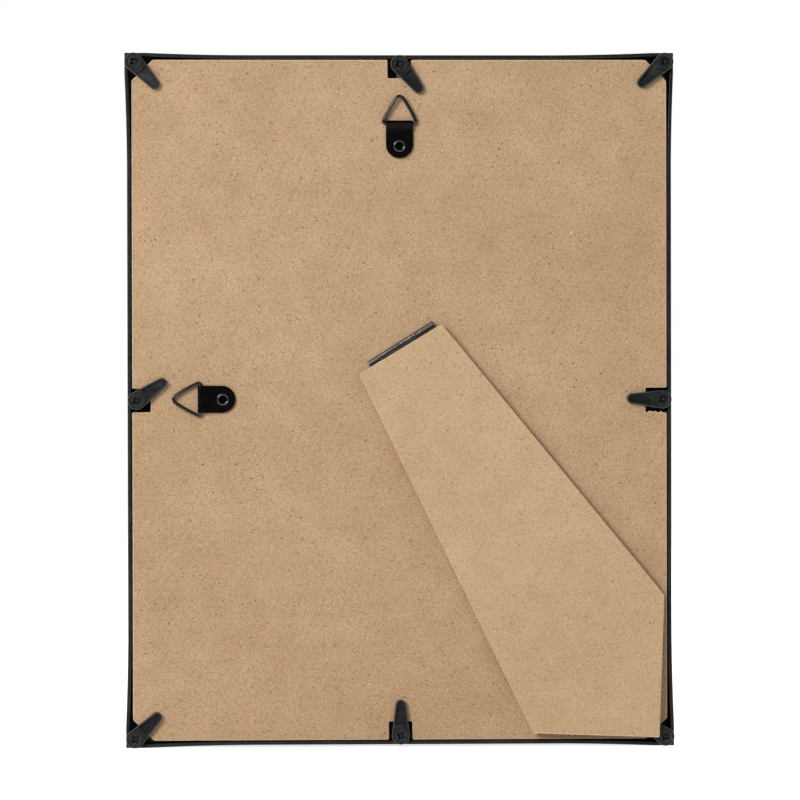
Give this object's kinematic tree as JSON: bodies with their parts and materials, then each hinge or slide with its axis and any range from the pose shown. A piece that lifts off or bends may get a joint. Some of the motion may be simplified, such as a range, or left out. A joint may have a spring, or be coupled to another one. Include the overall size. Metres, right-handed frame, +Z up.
{
  "type": "picture frame",
  "caption": "Picture frame for a letter-size sheet: moulded plastic surround, hardboard back held by turn buttons, ring hangers for both ways of hanging, folding easel strut.",
  "frame": {"origin": "under the middle of the whole frame, level with its lower corners", "axes": "+Z up along the frame's long sides, -Y out of the picture's face, +Y out of the back; X across, so that -X is at the viewer's right when the back is looked at"},
  "size_m": [0.2398, 0.0196, 0.3034],
  "materials": {
    "frame_plastic": "matt black, finely grained",
    "clear_glass": "clear, polished",
    "bare_paper": "blank, uncoated",
    "panel_board": "raw tan hardboard with fine dark flecks",
    "strut_board": "raw tan hardboard with fine dark flecks",
    "button_plastic": "satin black, moulded",
    "black_screw": "black phosphate",
    "strap_metal": "glossy black",
    "ring_wire": "glossy black",
    "eyelet_metal": "dark plated with a bright worn rim",
    "hinge_metal": "black with worn grey edges"
  },
  "bodies": {
    "frame": {"frame_moulding": "frame_plastic", "glazing": "clear_glass", "insert_sheet": "bare_paper", "backing_panel": "panel_board", "turn_button_screw_top_left": "black_screw", "turn_button_screw_top": "black_screw", "turn_button_screw_top_right": "black_screw", "turn_button_screw_left": "black_screw", "turn_button_screw_right": "black_screw", "turn_button_screw_bottom_left": "black_screw", "turn_button_screw_bottom": "black_screw", "turn_button_screw_bottom_right": "black_screw", "hanger_strap_portrait": "strap_metal", "hanger_eyelet_portrait": "eyelet_metal", "hanger_strap_landscape": "strap_metal", "hanger_eyelet_landscape": "eyelet_metal", "hinge_panel_leaf": "hinge_metal", "hinge_pin": "hinge_metal"},
    "strut": {"easel_strut": "strut_board", "hinge_strut_leaf": "hinge_metal"},
    "button_top_left": {"turn_button_top_left": "button_plastic"},
    "button_top": {"turn_button_top": "button_plastic"},
    "button_top_right": {"turn_button_top_right": "button_plastic"},
    "button_left": {"turn_button_left": "button_plastic"},
    "button_right": {"turn_button_right": "button_plastic"},
    "button_bottom_left": {"turn_button_bottom_left": "button_plastic"},
    "button_bottom": {"turn_button_bottom": "button_plastic"},
    "button_bottom_right": {"turn_button_bottom_right": "button_plastic"},
    "ring_portrait": {"hanger_ring_portrait": "ring_wire"},
    "ring_landscape": {"hanger_ring_landscape": "ring_wire"}
  },
  "joints": [
    {"name": "strut_fold", "type": "hinge", "parent": "frame", "child": "strut", "pos_m": [-0.0004, 0.00487, 0.1763], "axis": [0.8471, 0, -0.5314], "range_deg": [0, 40]},
    {"name": "button_turn_top_left", "type": "hinge", "parent": "frame", "child": "button_top_left", "pos_m": [0.11595, 0.00367, 0.2994], "axis": [0, 1, 0], "continuous": true},
    {"name": "button_turn_top", "type": "hinge", "parent": "frame", "child": "button_top", "pos_m": [0, 0.00367, 0.29835], "axis": [0, 1, 0], "range_deg": [-15, 300]},
    {"name": "button_turn_top_right", "type": "hinge", "parent": "frame", "child": "button_top_right", "pos_m": [-0.11595, 0.00367, 0.2994], "axis": [0, 1, 0], "continuous": true},
    {"name": "button_turn_left", "type": "hinge", "parent": "frame", "child": "button_left", "pos_m": [0.1149, 0.00367, 0.1517], "axis": [0, 1, 0], "range_deg": [-15, 300]},
    {"name": "button_turn_right", "type": "hinge", "parent": "frame", "child": "button_right", "pos_m": [-0.1149, 0.00367, 0.1517], "axis": [0, 1, 0], "continuous": true},
    {"name": "button_turn_bottom_left", "type": "hinge", "parent": "frame", "child": "button_bottom_left", "pos_m": [0.11595, 0.00367, 0.004], "axis": [0, 1, 0], "continuous": true},
    {"name": "button_turn_bottom", "type": "hinge", "parent": "frame", "child": "button_bottom", "pos_m": [0, 0.00367, 0.00505], "axis": [0, 1, 0], "continuous": true},
    {"name": "button_turn_bottom_right", "type": "hinge", "parent": "frame", "child": "button_bottom_right", "pos_m": [-0.11595, 0.00367, 0.004], "axis": [0, 1, 0], "continuous": true},
    {"name": "ring_swing_portrait", "type": "hinge", "parent": "frame", "child": "ring_portrait", "pos_m": [0, 0.00513, 0.2724], "axis": [-1, 0, 0], "range_deg": [-6, 136]},
    {"name": "ring_swing_landscape", "type": "hinge", "parent": "frame", "child": "ring_landscape", "pos_m": [0.08695, 0.00513, 0.1522], "axis": [0, 0, 1], "range_deg": [-2, 140]}
  ]
}
